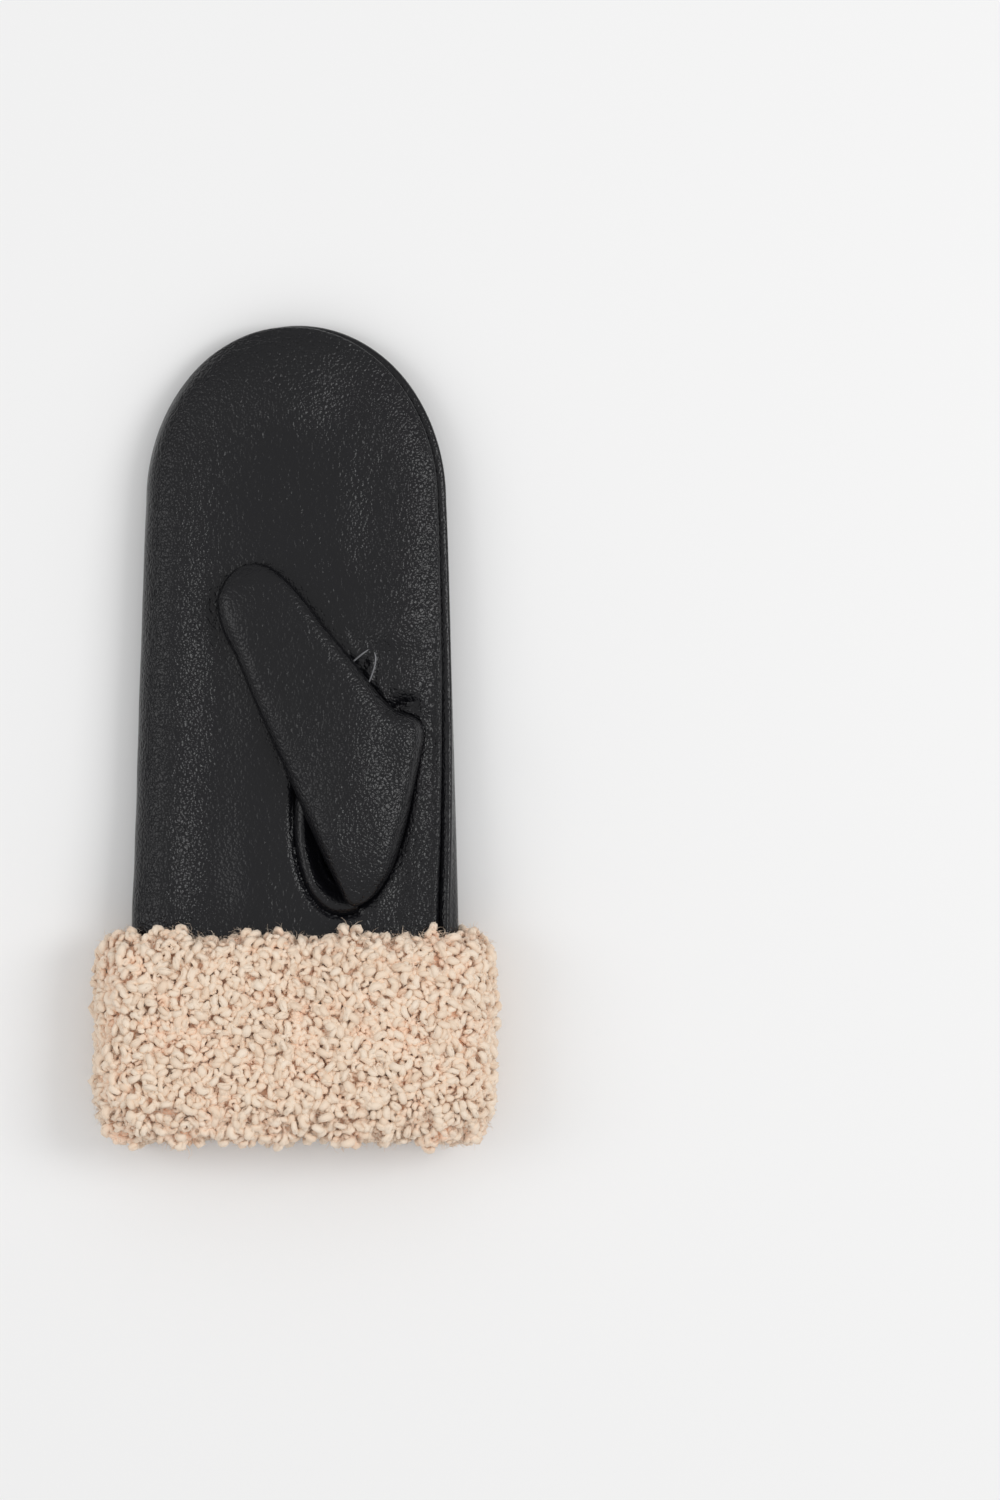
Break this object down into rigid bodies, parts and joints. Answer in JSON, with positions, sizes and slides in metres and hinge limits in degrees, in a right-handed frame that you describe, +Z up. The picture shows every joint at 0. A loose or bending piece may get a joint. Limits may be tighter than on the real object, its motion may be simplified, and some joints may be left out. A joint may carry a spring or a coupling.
{
  "type": "leather mitten",
  "caption": "Flat leather mitten for one hand, palm up, with a set-in thumb folded over the palm and a turned-up cuff of curly fleece round an open wrist.",
  "frame": {"origin": "on the surface that the mitten lies on, below the middle of its length and width", "axes": "+Y towards the fingertips, +X towards the thumb side, +Z up out of the palm"},
  "size_m": [0.1412, 0.2825, 0.0396],
  "materials": {
    "palm_leather": "soft near-black grained nappa, low sheen",
    "back_leather": "soft near-black grained nappa, low sheen",
    "thumb_leather": "soft near-black nappa, a little smoother",
    "fleece": "short curly pile, matt, pale warm beige"
  },
  "bodies": {
    "root": {"palm_panel": "palm_leather", "back_panel": "back_leather", "thumb": "thumb_leather", "fleece_cuff": "fleece"}
  },
  "joints": []
}
